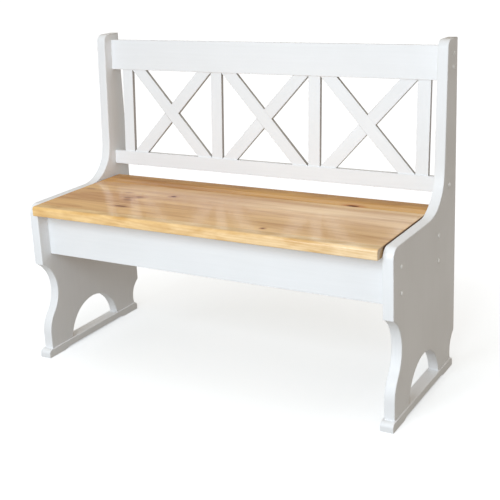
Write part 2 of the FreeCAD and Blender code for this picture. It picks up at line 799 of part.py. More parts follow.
# Seat lid: boards glued edge to edge, held flat by battens screwed on from below
lidHalf = innerHalf - s.seat_end_gap
lidFront = -halfDepth
lidBack = fromBack(s.seat_back_inset)
stripBack = lidFront + s.seat_strip_width
boardCount = whole(s.seat_board_count)
boardWidth = (lidBack - stripBack) / s.seat_board_count
battenX = betweenPanels(s.batten_count, s.batten_side_inset)
battenFront = boxFront + s.batten_inset
battenBack = boxBack - s.batten_inset
battenLow = seatBottom - s.batten_thick
battenScrewHole = s.batten_screw_diameter + s.screw_play * 2
battenScrewReach = s.batten_screw_length - s.batten_thick + s.screw_play
battenScrewY = []      # one in the middle of each stretch where a batten crosses a board


def isEnd(edge):
    """True for an edge in the lid's end faces that isn't a glue joint or on the underside."""
    box = edge.BoundBox
    glued = box.YLength < 0.01 and box.Center.y > lidFront.value + s.seat_nose_radius.value
    return box.XLength < 0.01 and box.ZMax > seatBottom.value + 0.01 and not glued


strip = board("seat_front_strip", (-lidHalf, lidFront, seatBottom), (lidHalf, stripBack, s.seat_top))
roundEdges(strip, s.seat_nose_radius, lambda edge: isAlong(edge, 0) and isAt(
    edge, y=lidFront, z=s.seat_top))
roundEdges(strip, s.seat_under_radius, lambda edge: isAlong(edge, 0) and isAt(
    edge, y=lidFront, z=seatBottom))
roundEdges(strip, s.seat_end_round, isEnd)

for number in range(1, boardCount + 1):
    low = stripBack + boardWidth * (number - 1)
    high = stripBack + boardWidth * number
    piece = board("seat_board_%d" % number, (-lidHalf, low, seatBottom),
                  (lidHalf, high, s.seat_top))
    last = number == boardCount
    roundEdges(piece, s.seat_end_round, lambda edge: isEnd(edge) or (
        last and isAlong(edge, 0) and isAt(edge, y=lidBack)))
    start = max(low, battenFront, key=lambda size: size.value)
    stop = min(high, battenBack, key=lambda size: size.value)
    if (stop - start).value > (s.batten_screw_edge * 2).value:
        middle = (start + stop) / 2
        battenScrewY.append(middle)
        drill(piece, "XY_Plane", seatBottom, [(x, middle) for x in battenX],
              battenScrewHole, battenScrewReach, True)
hingeScrewY = pinY + s.hinge_screw_line
drill(piece, "XY_Plane", seatBottom, [(x, hingeScrewY) for x in hingeScrewX],
      hingeScrewHole, hingeScrewReach, True)

for number, x in enumerate(battenX, start=1):
    half = s.batten_width / 2
    batten = board("lid_batten_%d" % number, (x - half, battenFront, battenLow),
                   (x + half, battenBack, seatBottom))
    roundEdges(batten, s.board_edge_round, lambda edge: isAlong(edge, 1) and isAt(
        edge, z=battenLow))
    countersink(batten, "XY_Plane", battenLow, [(x, y) for y in battenScrewY],
                s.batten_screw_diameter, s.batten_thick, True)
battenScrew = countersunkScrew("batten_screw", s.batten_screw_diameter, s.batten_screw_length)
copies("batten_screws", battenScrew,
       [((x, y, battenLow), (0, 0, 1)) for x in battenX for y in battenScrewY])


# Butt hinges: the fixed leaf hangs down the rear apron's back, the moving leaf lies under the
# lid's rear overhang, and the pin is in the corner between them
def block(label, low, high):
    item = doc.addObject("Part::Box", label)
    for prop, axis, bottom, top in zip(("Length", "Width", "Height"), "xyz", low, high):
        bind(item, prop, top - bottom)
        bind(item, "Placement.Base." + axis, bottom)
    return item


def aimed(item, start, way):
    """Puts a cylinder or cone at a place and points its axis."""
    item.Placement = FreeCAD.Placement(
        Vector(), FreeCAD.Rotation(Vector(0, 0, 1), Vector(*way)))
    for axis, size in zip("xyz", start):
        bind(item, "Placement.Base." + axis, size)
    return item


def rod(label, radius, start, length):
    """A cylinder along X."""
    item = doc.addObject("Part::Cylinder", label)
    bind(item, "Radius", radius)
    bind(item, "Height", length)
    return aimed(item, start, (1, 0, 0))


def headSeat(label, start, way):
    """The cone that a hinge screw's head fills in a leaf."""
    item = doc.addObject("Part::Cone", label)
    bind(item, "Radius1", s.hinge_screw_diameter * s.countersink_ratio / 2 + s.screw_play)
    bind(item, "Radius2", hingeScrewHole / 2)
    bind(item, "Height", s.hinge_leaf_thick)
    return aimed(item, start, way)


def joined(label, items):
    item = doc.addObject("Part::MultiFuse", label)
    item.Shapes = items
    return item


def hingeLeaf(label, x, plate, corner, screws, way, first):
    """One leaf: its plate, every second knuckle from the first, notches around the other leaf's
    knuckles, the pin's bore and the screws' seats. Corner is the plate's stretch that the notches
    take away, as its low and high places in Y and Z."""
    start = x - s.hinge_length / 2
    pitch = s.hinge_length / s.knuckle_count
    gap = s.knuckle_gap / 2
    solids = [plate]
    tools = [rod(label + "_bore", s.hinge_pin_radius + s.hinge_pin_play,
                 (start, pinY, pinZ), s.hinge_length)]
    for index in range(whole(s.knuckle_count)):
        low = start + pitch * index
        if index % 2 == first:
            solids.append(rod("%s_knuckle_%d" % (label, index), s.knuckle_radius,
                              (low + gap, pinY, pinZ), pitch - gap * 2))
        else:
            tools.append(block("%s_notch_%d" % (label, index),
                               (low - gap, corner[0][0], corner[0][1]),
                               (low + pitch + gap, corner[1][0], corner[1][1])))
    for index, place in enumerate(screws):
        tools.append(headSeat("%s_seat_%d" % (label, index), place, way))
    leaf = doc.addObject("Part::Cut", label)
    leaf.Base = joined(label + "_solid", solids)
    leaf.Tool = joined(label + "_holes", tools)
    parts[label] = leaf


def hinge(number, x):
    label = "hinge_%d" % number
    half = s.hinge_length / 2
    low = x - half
    high = x + half
    thick = s.hinge_leaf_thick
    clear = s.knuckle_radius + s.hinge_notch_play
    offsets = spread(whole(s.hinge_screw_count), s.hinge_screw_pitch)
    plate = block(label + "_fixed_plate", (low, apronBack, pinZ - s.hinge_leaf_width),
                  (high, apronBack + thick, pinZ))
    hingeLeaf(label + "_fixed_leaf", x, plate,
              ((apronBack - thick, pinZ - clear), (pinY, pinZ + clear)),
              [(x + offset, apronBack + thick, pinZ - s.hinge_screw_line) for offset in offsets],
              (0, -1, 0), 0)
    plate = block(label + "_moving_plate", (low, pinY, seatBottom - thick),
                  (high, pinY + s.hinge_leaf_width, seatBottom))
    hingeLeaf(label + "_moving_leaf", x, plate,
              ((pinY - clear, pinZ), (pinY + clear, seatBottom + thick)),
              [(x + offset, hingeScrewY, seatBottom - thick) for offset in offsets],
              (0, 0, 1), 1)
    play = s.hinge_pin_play
    shaft = rod(label + "_shaft", s.hinge_pin_radius, (low - play, pinY, pinZ),
                s.hinge_length + play * 2)
    heads = [rod("%s_head_%d" % (label, index), s.hinge_pin_head_radius, (start, pinY, pinZ),
                 s.hinge_pin_head_height)
             for index, start in enumerate((low - play - s.hinge_pin_head_height, high + play))]
    parts[label + "_pin"] = joined(label + "_pin", [shaft] + heads)


for number, x in enumerate(hingeX, start=1):
    hinge(number, x)
hingeScrew = countersunkScrew("hinge_screw", s.hinge_screw_diameter, s.hinge_screw_length)
copies("hinge_apron_screws", hingeScrew,
       [((x, apronBack + s.hinge_leaf_thick, pinZ - s.hinge_screw_line), (0, -1, 0))
        for x in hingeScrewX])
copies("hinge_lid_screws", hingeScrew,
       [((x, hingeScrewY, seatBottom - s.hinge_leaf_thick), (0, 0, 1)) for x in hingeScrewX])


# Checks, then one file for each node
doc.recompute()
for item in doc.Objects:
    if "Invalid" in item.State or "Error" in item.State:
        raise RuntimeError("%s failed to build: %s" % (item.Label, item.State))
for name, item in parts.items():
    if item.Shape.isNull() or not item.Shape.isValid():
        raise RuntimeError("%s has no valid shape" % name)
os.makedirs("parts", exist_ok=True)
for name, item in parts.items():
    item.Shape.exportStep("parts/%s.step" % name)
print("%d nodes written" % len(parts))
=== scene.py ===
import json
import math

import bpy
from mathutils import Matrix, Quaternion, Vector

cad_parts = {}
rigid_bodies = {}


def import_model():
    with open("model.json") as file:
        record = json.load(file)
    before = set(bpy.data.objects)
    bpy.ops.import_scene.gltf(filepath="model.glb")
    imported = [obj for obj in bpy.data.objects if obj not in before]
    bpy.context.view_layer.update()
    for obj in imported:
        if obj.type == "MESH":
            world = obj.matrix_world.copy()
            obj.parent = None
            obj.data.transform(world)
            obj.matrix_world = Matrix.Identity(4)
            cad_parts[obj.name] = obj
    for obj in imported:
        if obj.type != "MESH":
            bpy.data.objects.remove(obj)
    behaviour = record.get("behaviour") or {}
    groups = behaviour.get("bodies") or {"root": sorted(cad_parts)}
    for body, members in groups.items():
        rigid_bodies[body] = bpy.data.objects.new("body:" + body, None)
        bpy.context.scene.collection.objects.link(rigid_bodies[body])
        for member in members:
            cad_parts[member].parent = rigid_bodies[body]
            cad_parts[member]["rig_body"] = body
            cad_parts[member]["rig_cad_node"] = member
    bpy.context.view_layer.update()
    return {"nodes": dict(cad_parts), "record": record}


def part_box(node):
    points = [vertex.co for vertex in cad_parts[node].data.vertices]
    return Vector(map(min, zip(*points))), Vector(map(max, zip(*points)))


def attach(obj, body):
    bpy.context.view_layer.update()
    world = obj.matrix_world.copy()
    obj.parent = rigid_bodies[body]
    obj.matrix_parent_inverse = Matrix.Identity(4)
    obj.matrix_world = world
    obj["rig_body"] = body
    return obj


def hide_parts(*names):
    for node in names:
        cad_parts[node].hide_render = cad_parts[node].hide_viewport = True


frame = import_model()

mm = 0.001


# Shader nodes: a wire is a socket that takes part in sums, a finish is one material or world
class Wire:
    def __init__(self, finish, socket):
        self.finish = finish
        self.socket = socket

    def __add__(self, other):
        return self.finish.sums("ADD", self, other)

    def __radd__(self, other):
        return self.finish.sums("ADD", other, self)

    def __sub__(self, other):
        return self.finish.sums("SUBTRACT", self, other)

    def __rsub__(self, other):
        return self.finish.sums("SUBTRACT", other, self)

    def __mul__(self, other):
        return self.finish.sums("MULTIPLY", self, other)

    def __rmul__(self, other):
        return self.finish.sums("MULTIPLY", other, self)

    def __truediv__(self, other):
        return self.finish.sums("DIVIDE", self, other)

    def __rtruediv__(self, other):
        return self.finish.sums("DIVIDE", other, self)

    def __pow__(self, other):
        return self.finish.sums("POWER", self, other)

    def __rpow__(self, other):
        return self.finish.sums("POWER", other, self)


class Finish:
    def __init__(self, name, kind="materials"):     # or "worlds"
        self.owner = getattr(bpy.data, kind).new(name)
        self.owner.use_nodes = True
        self.tree = self.owner.node_tree
        self.tree.nodes.clear()

    def add(self, kind, settings={}, inputs={}):
        made = self.tree.nodes.new("ShaderNode" + kind)
        for key, value in settings.items():
            setattr(made, key, value)
        for key, value in inputs.items():
            if isinstance(value, Wire):
                self.tree.links.new(value.socket, made.inputs[key])
            else:
                made.inputs[key].default_value = value
        return made

    def node(self, kind, settings={}, inputs={}, output=0):
        return Wire(self, self.add(kind, settings, inputs).outputs[output])

    def sums(self, operation, *values, clamp=False):
        return self.node("Math", {"operation": operation, "use_clamp": clamp},
                         dict(enumerate(values)))

    def clamp(self, value):
        return self.sums("ADD", value, 0, clamp=True)

    def axes(self, vector):
        return [Wire(self, socket) for socket in self.add("SeparateXYZ", {}, {0: vector}).outputs]

    def place(self):
        return self.node("TexCoord", output="Object")

    def join(self, x, y, z):
        return self.node("CombineXYZ", {}, {0: x, 1: y, 2: z})

    def stretch(self, axes, along, across, axis=0):     # a place, scaled otherwise along one axis
        scales = [across] * 3
        scales[axis] = along
        return self.join(*[part * scale for part, scale in zip(axes, scales)])

    def noise(self, vector, scale, detail=2.0, roughness=0.5, warp=0.0):
        return self.node("TexNoise", {"noise_dimensions": "3D"},
                         {"Vector": vector, "Scale": scale, "Detail": detail,
                          "Roughness": roughness, "Distortion": warp}, output="Fac")

    def blend(self, amount, first, second, mode="MIX"):
        return self.node("Mix", {"data_type": "RGBA", "blend_type": mode},
                         {0: amount, 6: first, 7: second}, output=2)

    def bump(self, height, strength, distance):
        return self.node("Bump", {}, {"Strength": strength, "Distance": distance, "Height": height})

    def surface(self, inputs):
        return self.finishWith(self.node("BsdfPrincipled", {}, inputs))

    def finishWith(self, shader, end="OutputMaterial"):
        self.add(end, {}, {"Surface": shader})
        return self.owner

    def seenRays(self):     # 1 where the camera or something shiny or clear looks
        rays = [self.node("LightPath", output=kind)
                for kind in ("Is Camera Ray", "Is Glossy Ray", "Is Transmission Ray")]
        return self.clamp(rays[0] + rays[1] + rays[2])


def colour(r, g, b):
    return (r, g, b, 1)


# Painted boards: brushed satin paint over planed pine, whose grain shows through a little
paint = {
    "white": colour(0.84, 0.847, 0.857),
    "shade": colour(0.78, 0.785, 0.79),
    "sideShade": colour(0.42, 0.40, 0.375),      # painted shade on the lattice's narrow sides
    "grain": (5, 150),          # how fine, along and across the grain
    "strokes": (9, 420),
    "cloud": 7,
    "roughness": 0.45,
    "height": 0.05 * mm,
}


def paintFinish(name, grainAxis, shadeNarrowSides=False, lean=0):
    finish = Finish(name)
    x, y, z = finish.axes(finish.place())
    if lean:            # the grain follows a slanting brace
        x, z = x * math.cos(lean) - z * math.sin(lean), x * math.sin(lean) + z * math.cos(lean)
    grain = finish.noise(finish.stretch((x, y, z), *paint["grain"], grainAxis), 1, 4, 0.6, 0.4)
    brush = finish.noise(finish.stretch((x, y, z), *paint["strokes"], grainAxis), 1, 2)
    cloud = finish.noise(finish.place(), paint["cloud"], 3)
    tone = finish.clamp((cloud - 0.5) * 0.9 + (grain - 0.5) * 0.8 + 0.35)
    base = finish.blend(tone, paint["white"], paint["shade"])
    # painted shade: the narrow sides of slats and braces are darkened, standing in for the shade that
    # falls between them
    if shadeNarrowSides:
        turned = finish.axes(finish.node("NewGeometry", output="Normal"))[1]     # 0 on narrow sides
        side = finish.clamp(1.6 - turned * turned * 4)
        base = finish.blend(side * 0.8, base, paint["sideShade"])
    height = grain * 0.7 + brush * 0.3
    return finish.surface({
        "Base Color": base,
        "Roughness": finish.clamp(paint["roughness"] + (brush - 0.5) * 0.2 + (cloud - 0.5) * 0.15),
        "Normal": finish.bump(height, 0.5, paint["height"]),
        "IOR": 1.48,
    })


# Seat boards: knotty pine under clear lacquer; places along X and Y in metres, from above
wood = {
    "knot": colour(0.13, 0.034, 0.006),
    "knotRim": colour(0.45, 0.15, 0.035),
    "ringWidth": 6 * mm,
    "driftWidth": 45 * mm,
    "drift": (1.6, 7),          # how fine, along and across the grain
    "ripple": (9, 60),
    "fibre": (14, 700),
    "cloud": (3, 12),
    "glueWidth": 0.45 * mm,
    "endReach": 0.4 * mm,
    "endFade": 0.3 * mm,
    "height": 0.05 * mm,
    "coatRoughness": 0.18,
    "endGrain": colour(0.16, 0.075, 0.035),
    "sheenLeft": colour(0.97, 0.87, 0.61),       # painted reflection: the right end is made paler and bluer, as if veiled by the lacquer's reflection, and the left end deeper
    "sheenRight": colour(1.0, 1.04, 1.1),
}
# heart: Y and Z of the tree's middle from the board's own; run: how it drifts along X;
# figure: how fine, along and across; sheen fading: how far the painted reflection tint changes from
# left to right
boards = {
    "seat_front_strip": {"seed": 3, "heart": (0.010, -0.030), "run": 0.035, "figure": (15, 48),
                         "pale": colour(0.90, 0.67, 0.40), "deep": colour(0.64, 0.385, 0.145),
                         "endDark": 0.25, "sheenFading": 0.8, "contrast": 2.0},
    "seat_board_1": {"seed": 11, "heart": (-0.030, -0.075), "run": 0.045, "figure": (1.6, 42),
                     "pale": colour(0.86, 0.55, 0.25), "deep": colour(0.56, 0.28, 0.085),
                     "endDark": 0.9, "sheenFading": 1, "contrast": 2.6},
    "seat_board_2": {"seed": 23, "heart": (0.012, -0.055), "run": -0.03, "figure": (1.3, 36),
                     "pale": colour(0.84, 0.53, 0.24), "deep": colour(0.56, 0.27, 0.08),
                     "endDark": 0.9, "sheenFading": 1, "contrast": 2.6},
    "seat_board_3": {"seed": 37, "heart": (-0.05, -0.07), "run": 0.02, "figure": (1.4, 38),
                     "pale": colour(0.90, 0.61, 0.31), "deep": colour(0.62, 0.33, 0.12),
                     "endDark": 0.9, "sheenFading": 1, "contrast": 2.6},
    # painted shade: the rear board's darker colours and its smaller left-to-right change stand in for
    # the shade under the back rest, where the lacquer reflects less
    "seat_board_4": {"seed": 51, "heart": (0.02, -0.065), "run": 0.05, "figure": (1.2, 30),
                     "pale": colour(0.66, 0.39, 0.145), "deep": colour(0.43, 0.20, 0.05),
                     "endDark": 0.9, "sheenFading": 0.2, "contrast": 2.6},
}
glueLines = (-0.2005, -0.10675, -0.013, 0.08075)        # Y
knotShape = {
    "push": 1.6,            # how many rings it pushes aside
    "pushFall": 0.35,
    "eye": 1.35,
    "eyeFall": 1.1,
    "eyeRagged": 1.4,
    "rim": 1.2,
    "rimFall": 0.22,
    "rimRagged": 1.2,
    "rimDark": 0.75,
}
knots = [       # X, Y, half length, half width, how dark
    (0.317, 0.0875, 0.020, 0.0085, 1.0),
    (-0.198, 0.0015, 0.009, 0.0065, 1.0),
    (-0.288, -0.0375, 0.014, 0.009, 0.6),
    (-0.318, -0.0525, 0.018, 0.009, 0.55),
    (-0.304, -0.0745, 0.014, 0.008, 0.55),
    (-0.283, -0.1355, 0.022, 0.0075, 0.8),
    (0.190, -0.1785, 0.006, 0.005, 1.0),
    (-0.348, -0.0075, 0.012, 0.006, 0.4),
    (-0.488, -0.0075, 0.020, 0.007, 0.35),
]


def seatFinish(name, board, low, high):
    finish = Finish(name + "_lacquered_pine")
    x, y, z = finish.axes(finish.place())
    seed = board["seed"]
    middle = (low + high) / 2

    def streaks(along, across, shift=seed):
        return finish.join(x * along + shift, y * across, z * across)

    drift = finish.noise(streaks(*wood["drift"]), 1, 3)
    ripple = finish.noise(streaks(*wood["ripple"]), 1, 3)
    rings = 0
    eye = 0
    rim = 0
    for knotX, knotY, length, width, dark in knots:
        if not low.y < knotY < high.y:
            continue
        along = (x - knotX) / length
        over = (y - knotY) / width
        far = along * along + over * over
        halo = 1 / (1 + far * knotShape["pushFall"]) ** 2
        rings = rings + halo * knotShape["push"]
        ragged = (ripple - 0.5) * knotShape["eyeRagged"]
        eye = eye + finish.clamp(knotShape["eye"] - far * knotShape["eyeFall"] + ragged) * dark
        ragged = (ripple - 0.5) * knotShape["rimRagged"]
        edge = finish.clamp(knotShape["rim"] - far * knotShape["rimFall"] + ragged)
        rim = rim + edge * dark * knotShape["rimDark"]
    across = y - (middle.y + board["heart"][0]) + (drift - 0.5) * wood["driftWidth"]
    depth = z - (middle.z + board["heart"][1]) + x * board["run"]
    radius = (across * across + depth * depth) ** 0.5
    count = radius / wood["ringWidth"] + (ripple - 0.5) * 0.5 + rings
    phase = finish.sums("FRACT", count)
    band = phase ** 2.2 * (1 - phase ** 14)
    fibre = finish.noise(streaks(*wood["fibre"]), 1, 2)
    figure = finish.noise(streaks(*board["figure"], seed * 2), 1, 3, 0.55, 0.2)
    cloudAlong, cloudAcross = wood["cloud"]
    cloud = finish.join(x * cloudAlong, y * cloudAcross, z * cloudAcross + seed)
    cloud = finish.noise(cloud, 1, 2)
    dark = (figure - 0.5) * board["contrast"] + (cloud - 0.5) * 2 + 0.5
    dark = dark + (band - 0.3) * 0.4 + (fibre - 0.5) * 0.4
    base = finish.blend(finish.clamp(dark), board["pale"], board["deep"])
    for line in glueLines:
        if low.y - mm < line < high.y + mm:
            seam = finish.clamp(1 - finish.sums("ABSOLUTE", y - line) / wood["glueWidth"])
            base = finish.blend(seam * 0.6, base, wood["endGrain"])
    inside = high.x - wood["endReach"]
    ends = finish.clamp((finish.sums("ABSOLUTE", x) - inside) / wood["endFade"])
    base = finish.blend(ends * board["endDark"], base, wood["endGrain"])
    # painted reflection: the boards get paler and bluer towards the right and deeper towards the left
    paintedSheen = finish.blend(finish.clamp(x + 0.5) * board["sheenFading"], wood["sheenLeft"], wood["sheenRight"])
    base = finish.blend(1, base, paintedSheen, "MULTIPLY")
    if eye:
        base = finish.blend(finish.clamp(rim), base, wood["knotRim"])
        base = finish.blend(finish.clamp(eye), base, wood["knot"])
    height = band * 0.5 + fibre * 0.5 + cloud
    return finish.surface({
        "Base Color": base,
        "Roughness": finish.clamp(0.5 + (fibre - 0.5) * 0.3),
        "Normal": finish.bump(height, 0.35, wood["height"]),
        "Specular IOR Level": 0.1,
        "Coat Weight": 1 - finish.clamp(eye) * 0.75 if eye else 1.0,
        "Coat Roughness": wood["coatRoughness"],
        "Coat IOR": 1.5,
    })


# Bare pine: cleats, battens, the storage bottom and dowels
bare = {
    "pale": colour(0.78, 0.58, 0.36),
    "deep": colour(0.60, 0.38, 0.19),
    "stain": colour(0.70, 0.50, 0.30),
    "grain": (5, 160),
    "cloud": 9,
    "roughness": 0.6,
    "height": 0.1 * mm,
}


def bareFinish(name, grainAxis):
    finish = Finish(name)
    axes = finish.axes(finish.place())
    grain = finish.noise(finish.stretch(axes, *bare["grain"], grainAxis), 1, 4, 0.6, 0.6)
    cloud = finish.noise(finish.place(), bare["cloud"], 2)
    base = finish.blend(finish.clamp(grain * 1.7 - 0.45), bare["pale"], bare["deep"])
    base = finish.blend(finish.clamp(cloud - 0.3), base, bare["stain"])
    return finish.surface({
        "Base Color": base,
        "Roughness": finish.clamp(bare["roughness"] + (grain - 0.5) * 0.3),
        "Normal": finish.bump(grain, 0.6, bare["height"]),
    })


# Zinc-plated steel: hinges and screws
zinc = {
    "bright": colour(0.62, 0.61, 0.57),
    "dull": colour(0.50, 0.49, 0.44),
    "brushing": (90, 2400),
    "cloud": 60,
    "roughness": 0.3,
    "height": 0.01 * mm,
}


def steelFinish():
    finish = Finish("zinc_plated_steel")
    brushed = finish.noise(finish.stretch(finish.axes(finish.place()), *zinc["brushing"]), 1, 3)
    cloud = finish.noise(finish.place(), zinc["cloud"], 2)
    rough = zinc["roughness"] + (brushed - 0.5) * 0.25 + (cloud - 0.5) * 0.2
    return finish.surface({
        "Base Color": finish.blend(finish.clamp(cloud * 1.4 - 0.3), zinc["bright"], zinc["dull"]),
        "Metallic": 1.0,
        "Roughness": finish.clamp(rough),
        "Normal": finish.bump(brushed, 0.4, zinc["height"]),
    })


# Moulded screw caps
plastic = {
    "white": colour(0.90, 0.90, 0.90),
    "grey": colour(0.82, 0.82, 0.81),
    "cloud": 220,
    "roughness": 0.3,
    "height": 0.03 * mm,
}


def capFinish():
    finish = Finish("moulded_cap")
    cloud = finish.noise(finish.place(), plastic["cloud"], 3)
    return finish.surface({
        "Base Color": finish.blend(cloud, plastic["white"], plastic["grey"]),
        "Roughness": finish.clamp(plastic["roughness"] + (cloud - 0.5) * 0.2),
        "Normal": finish.bump(cloud, 0.3, plastic["height"]),
    })


print("finishes")


def deselect():
    if bpy.context.object and bpy.context.object.mode != "OBJECT":
        bpy.ops.object.mode_set(mode="OBJECT")
    bpy.ops.object.select_all(action="DESELECT")


def workOn(piece):
    deselect()
    piece.select_set(True)
    bpy.context.view_layer.objects.active = piece


# A board's own mesh, taken from its solid, merged and cleaned so that its rounded edges shade smooth
boardMesh = {
    "mergeWithin": 0.001 * mm,
    "flatWithin": math.radians(0.2),
    "smoothBelow": math.radians(35),
}


def smoothBoard(node, name):
    source = frame["nodes"][node]
    piece = bpy.data.objects.new(name, source.data.copy())
    bpy.context.scene.collection.objects.link(piece)
    workOn(piece)
    bpy.ops.object.mode_set(mode="EDIT")
    bpy.ops.mesh.select_all(action="SELECT")
    bpy.ops.mesh.remove_doubles(threshold=boardMesh["mergeWithin"])
    bpy.ops.mesh.dissolve_limited(angle_limit=boardMesh["flatWithin"])
    bpy.ops.object.mode_set(mode="OBJECT")
    bpy.ops.object.shade_smooth_by_angle(angle=boardMesh["smoothBelow"])
    weigh = piece.modifiers.new("even_faces", "WEIGHTED_NORMAL")
    weigh.keep_sharp = True
    bpy.ops.object.modifier_apply(modifier=weigh.name)
    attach(piece, source["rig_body"])
    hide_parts(node)
    return piece


# The separate solids of a node, each as a list of its points
def solidsOf(node):
    piece = bpy.data.objects.new("loose", frame["nodes"][node].data.copy())
    bpy.context.scene.collection.objects.link(piece)
    workOn(piece)
    bpy.ops.object.mode_set(mode="EDIT")
    bpy.ops.mesh.select_all(action="SELECT")
    bpy.ops.mesh.remove_doubles(threshold=boardMesh["mergeWithin"])
    bpy.ops.mesh.separate(type="LOOSE")
    bpy.ops.object.mode_set(mode="OBJECT")
    found = [[vertex.co.copy() for vertex in part.data.vertices]
             for part in bpy.context.selected_objects]
    bpy.ops.object.delete()
    return sorted(found, key=lambda points: tuple(spanOf(points)[0]))


def spanOf(points):
    low = Vector([min(point[axis] for point in points) for axis in range(3)])
    high = Vector([max(point[axis] for point in points) for axis in range(3)])
    return low, high


def selectEnd(piece, sign):     # the faces that look up, or down for -1
    bpy.ops.object.mode_set(mode="OBJECT")
    bpy.context.tool_settings.mesh_select_mode = (False, False, True)
    for edge in piece.data.edges:
        edge.select = False
    for vertex in piece.data.vertices:
        vertex.select = False
    for face in piece.data.polygons:
        face.select = face.normal.z * sign > 0.9
    bpy.ops.object.mode_set(mode="EDIT")


def joinCopies(model, places, name, node):
    joined = None
    for place in places:
        copy = bpy.data.objects.new(name, model.data.copy())
        copy.data.transform(place)
        bpy.context.scene.collection.objects.link(copy)
        if joined:          # one at a time, which keeps their order
            workOn(joined)
            copy.select_set(True)
            bpy.ops.object.join()
        else:
            joined = copy
    joined.name = name
    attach(joined, frame["nodes"][node]["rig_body"])
    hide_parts(node)
    return joined


# Screw cap: an upright rim, a domed crown and the small flat left by the mould
screwCap = {
    "radius": 6 * mm,
    "rim": 1.2 * mm,
    "plug": 1.3 * mm,
    "rise": 3.38 * mm,          # of the crown's top from the board
    "smoothBelow": math.radians(45),
    # width left, and how far it rises
    "crown": ((0.96, 0.45 * mm), (0.90, 0.5 * mm), (0.80, 0.5 * mm), (0.66, 0.4 * mm),
              (0.45, 0.25 * mm), (0.20, 0.08 * mm)),
}


def makeCap():
    deselect()
    height = screwCap["rim"] + screwCap["plug"]
    bpy.ops.mesh.primitive_cylinder_add(vertices=32, radius=screwCap["radius"], depth=height,
                                        location=(0, 0, height / 2 - screwCap["plug"]))
    piece = bpy.context.object
    bpy.ops.object.transform_apply()
    selectEnd(piece, 1)
    width = 1
    for part, rise in screwCap["crown"]:
        bpy.ops.mesh.extrude_region_move(TRANSFORM_OT_translate={"value": (0, 0, rise)})
        bpy.ops.transform.resize(value=(part / width, part / width, 1))
        width = part
    bpy.ops.object.mode_set(mode="OBJECT")
    bpy.ops.object.shade_smooth_by_angle(angle=screwCap["smoothBelow"])
    return piece


def capPlaces(node):
    places = []
    for points in solidsOf(node):
        low, high = spanOf(points)
        middle = (low + high) / 2
        outwards = 1 if middle.x > 0 else -1
        face = (high.x if outwards > 0 else low.x) - outwards * screwCap["rise"]
        places.append(facing(Vector((face, middle.y, middle.z)), Vector((outwards, 0, 0))))
    return places


# Countersunk wood screw with a cross recess, as long and as wide as its solid
screw = {
    "sides": 24,
    "tip": 0.06,            # of the shank's width
    "armWidth": 0.26,       # of the head's radius, as the next two
    "armLength": 1.15,
    "armDepth": 0.55,
    "armTaper": 0.55,
    "endPart": 0.05,        # of the length, where the wide and the narrow end are told apart
    "smoothBelow": math.radians(30),
}


def makeScrew(headRadius, length):
    deselect()
    shank = headRadius / 2          # also the head's height, and half the tip's
    straight = length - shank - shank * 2
    bpy.ops.mesh.primitive_cylinder_add(vertices=screw["sides"], radius=shank, depth=straight,
                                        location=(0, 0, -shank - straight / 2))
    piece = bpy.context.object
    bpy.ops.object.transform_apply()
    selectEnd(piece, 1)
    bpy.ops.mesh.extrude_region_move(TRANSFORM_OT_translate={"value": (0, 0, shank)})
    bpy.ops.transform.resize(value=(2, 2, 1))
    selectEnd(piece, -1)
    bpy.ops.mesh.extrude_region_move(TRANSFORM_OT_translate={"value": (0, 0, -shank * 2)})
    bpy.ops.transform.resize(value=(screw["tip"], screw["tip"], 1))
    bpy.ops.object.mode_set(mode="OBJECT")
    for turn in (0, 90):
        cutRecess(piece, headRadius, math.radians(turn))
    workOn(piece)
    bpy.ops.object.shade_smooth_by_angle(angle=screw["smoothBelow"])
    return piece


def cutRecess(piece, headRadius, turn):
    deselect()
    bpy.ops.mesh.primitive_cube_add(size=headRadius)
    arm = bpy.context.object
    arm.scale = (screw["armLength"], screw["armWidth"], screw["armDepth"] * 2)
    bpy.ops.object.transform_apply()
    selectEnd(arm, -1)
    bpy.ops.transform.resize(value=(screw["armTaper"], screw["armTaper"], 1))
    bpy.ops.object.mode_set(mode="OBJECT")
    arm.data.transform(Matrix.Rotation(turn, 4, "Z"))
    workOn(piece)
    cut = piece.modifiers.new("recess", "BOOLEAN")
    cut.operation = "DIFFERENCE"
    cut.object = arm
    bpy.ops.object.modifier_apply(modifier=cut.name)
    bpy.data.objects.remove(arm)


def facing(place, outwards):
    return Matrix.Translation(place) @ outwards.to_track_quat("Z", "Y").to_matrix().to_4x4()


def wideness(points, middle, axis):
    flat = [point - middle for point in points]
    for point in flat:
        point[axis] = 0
    return max(point.length for point in flat)


def screwsFor(node):
    places = []
    for points in solidsOf(node):
        low, high = spanOf(points)
        middle = (low + high) / 2
        axis = max(range(3), key=lambda a: high[a] - low[a])
        length = high[axis] - low[axis]
        end = length * screw["endPart"]
        above = [point for point in points if point[axis] > high[axis] - end]
        below = [point for point in points if point[axis] < low[axis] + end]
        sign = 1 if wideness(above, middle, axis) > wideness(below, middle, axis) else -1
        outwards = Vector((0, 0, 0))
        outwards[axis] = sign
        places.append(facing(middle + outwards * length / 2, outwards))
        headRadius = (high[axis - 1] - low[axis - 1]) / 2       # a node's screws are all alike
    model = makeScrew(headRadius, length)
    joined = joinCopies(model, places, node + "_crosshead", node)
    bpy.data.objects.remove(model)
    return joined


def dress(piece, material):
    piece.data.materials.clear()
    piece.data.materials.append(material)


